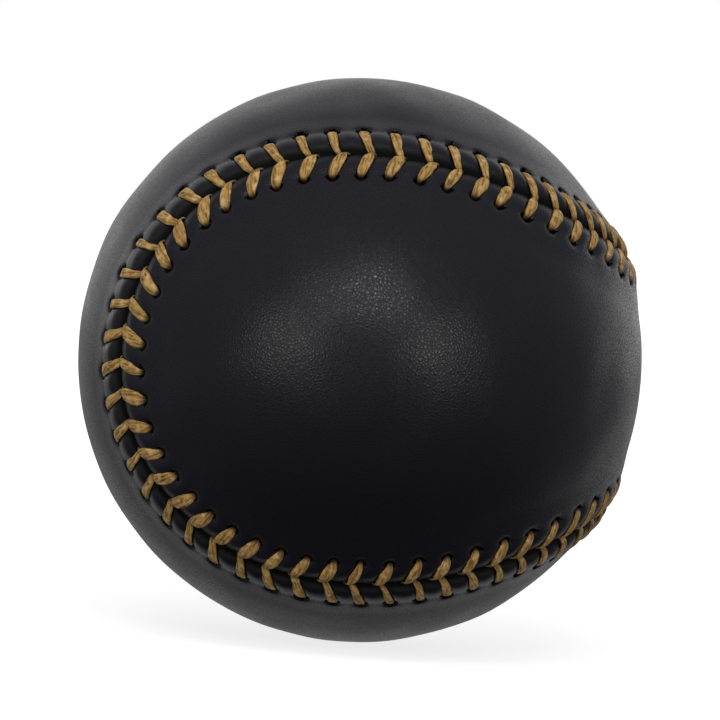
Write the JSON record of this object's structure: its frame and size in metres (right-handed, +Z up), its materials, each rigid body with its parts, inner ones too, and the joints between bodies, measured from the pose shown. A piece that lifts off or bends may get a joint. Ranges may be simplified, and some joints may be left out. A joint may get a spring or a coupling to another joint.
{
  "type": "baseball",
  "caption": "Stitched leather baseball: black figure-eight cover panels laced with raised gold stitching over yarn windings and a cork and rubber centre.",
  "frame": {"origin": "centre of the ball", "axes": "+X through the middle of the front cover panel's waist, -Y through the middle of its front lobe, +Z up through the middle of the back panel's upper lobe"},
  "size_m": [0.0744, 0.0744, 0.0744],
  "materials": {
    "cork": "matt, granular composition cork",
    "black_rubber": "moulded, matt",
    "red_rubber": "moulded, satin",
    "gray_wool": "wound wool yarn, fuzzy",
    "white_wool": "wound wool yarn, fuzzy",
    "finishing_yarn": "wound poly-cotton yarn, smooth",
    "black_leather": "satin, fine pebble grain",
    "gold_thread": "waxed twisted thread, slight sheen"
  },
  "bodies": {
    "root": {"cork_center": "cork", "black_rubber_shell_left": "black_rubber", "black_rubber_shell_right": "black_rubber", "rubber_gasket": "red_rubber", "red_rubber_cup_left": "red_rubber", "red_rubber_cup_right": "red_rubber", "gray_wool_winding": "gray_wool", "white_wool_winding": "white_wool", "outer_wool_winding": "gray_wool", "finishing_winding": "finishing_yarn", "cover_panel_front": "black_leather", "cover_panel_back": "black_leather", "stitch_thread_one": "gold_thread", "stitch_thread_two": "gold_thread"}
  },
  "joints": []
}
